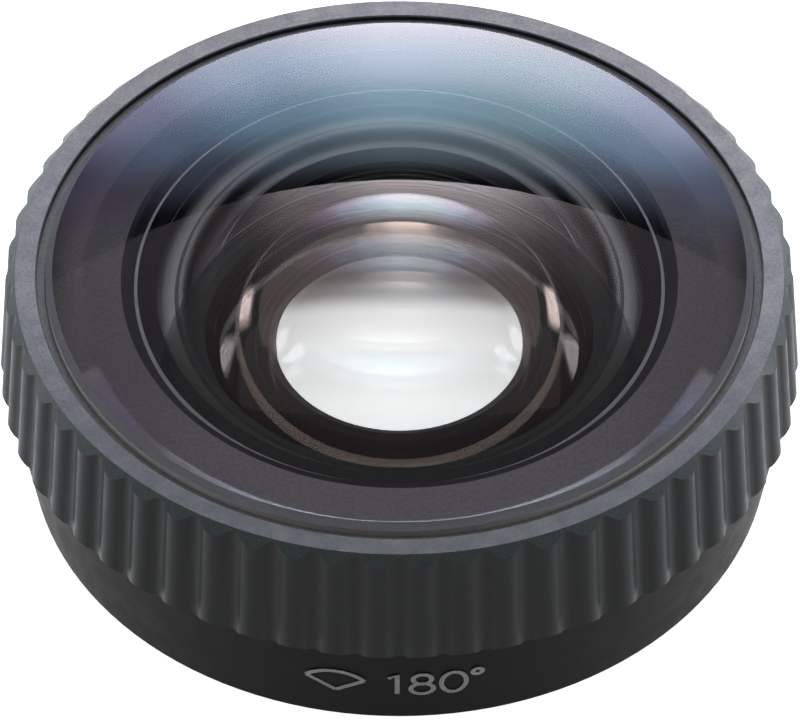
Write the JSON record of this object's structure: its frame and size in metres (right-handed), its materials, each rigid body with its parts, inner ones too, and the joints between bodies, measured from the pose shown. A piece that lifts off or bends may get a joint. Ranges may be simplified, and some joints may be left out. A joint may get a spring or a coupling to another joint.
{
  "type": "wide-angle conversion lens",
  "caption": "Round fisheye conversion lens with a domed front glass, a fluted grip ring, nested inner lenses and a rear bayonet socket.",
  "frame": {"origin": "centre of the flat rear face that the lens stands on, on the optical axis", "axes": "+Z along the optical axis towards the front glass, +X through a rib of the grip and a bayonet lug, -Y towards the side the picture shows nearest"},
  "size_m": [0.042, 0.042, 0.0172],
  "materials": {
    "anodised_grip": "fine bead-blasted black anodising",
    "anodised_barrel": "fine bead-blasted black anodising",
    "inner_black": "matte black anodising",
    "front_glass": "polished, coated",
    "inner_glass": "polished, coated",
    "black_mask": "matte black film",
    "black_rubber": "matte black",
    "bright_steel": "turned and lightly polished"
  },
  "bodies": {
    "root": {"grip_ring": "anodised_grip", "barrel": "anodised_barrel", "front_lens": "front_glass", "front_seal": "black_rubber", "mask_ring": "black_mask", "baffle_ring": "inner_black", "lens_cell": "inner_black", "cell_seal_ring": "black_rubber", "cell_shim": "bright_steel", "second_lens": "inner_glass", "second_lens_retainer": "inner_black", "aperture_stop": "black_mask", "third_lens": "inner_glass", "fourth_lens": "inner_glass", "rear_retaining_ring": "inner_black", "bayonet_ring": "bright_steel", "bayonet_screws": "bright_steel", "bayonet_spring": "bright_steel", "bayonet_stop_pin": "bright_steel", "rear_seal": "black_rubber"}
  },
  "joints": []
}
